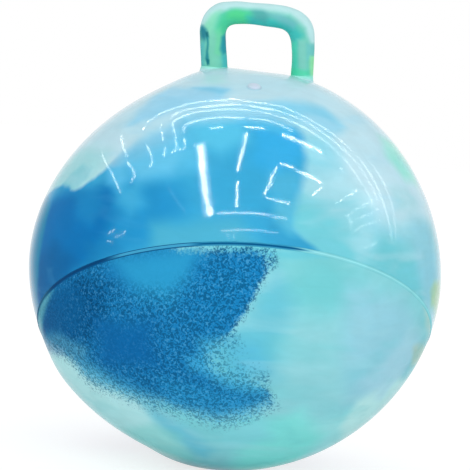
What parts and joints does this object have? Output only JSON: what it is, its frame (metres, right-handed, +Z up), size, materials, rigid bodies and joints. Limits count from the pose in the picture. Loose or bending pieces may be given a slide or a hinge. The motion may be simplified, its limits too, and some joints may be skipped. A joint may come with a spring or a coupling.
{
  "type": "hopper ball",
  "caption": "Inflatable ride-on bouncing ball with a loop handle on top, a raised seam, a glossy upper skin, a grained lower skin and a push-in air plug.",
  "frame": {"origin": "middle of the flat patch that the ball stands on, under the handle", "axes": "+Z up through the ball and its handle, -Y towards the air plug, +X along the handle's bar"},
  "size_m": [0.4498, 0.4498, 0.5079],
  "materials": {
    "upper_vinyl": "glossy marbled vinyl, pale blue with deep blue and mint clouds",
    "lower_vinyl": "fine grained marbled vinyl, deep blue with pale turquoise clouds",
    "seam_vinyl": "smooth welded vinyl, deep blue fading to light blue",
    "handle_vinyl": "satin marbled vinyl, green and turquoise",
    "collar_vinyl": "glossy pale mint vinyl",
    "valve_vinyl": "satin moulded vinyl",
    "plug_vinyl": "satin moulded white plastic"
  },
  "bodies": {
    "ball": {"upper_shell": "upper_vinyl", "lower_shell": "lower_vinyl", "seam_band": "seam_vinyl", "handle": "handle_vinyl", "left_collar": "collar_vinyl", "right_collar": "collar_vinyl", "valve_seat": "valve_vinyl"},
    "plug": {"plug": "plug_vinyl"}
  },
  "joints": [
    {"name": "plug_pull", "type": "slide", "parent": "ball", "child": "plug", "axis": [0, -0.4067, 0.9135], "range_m": [0, 0.016]}
  ]
}
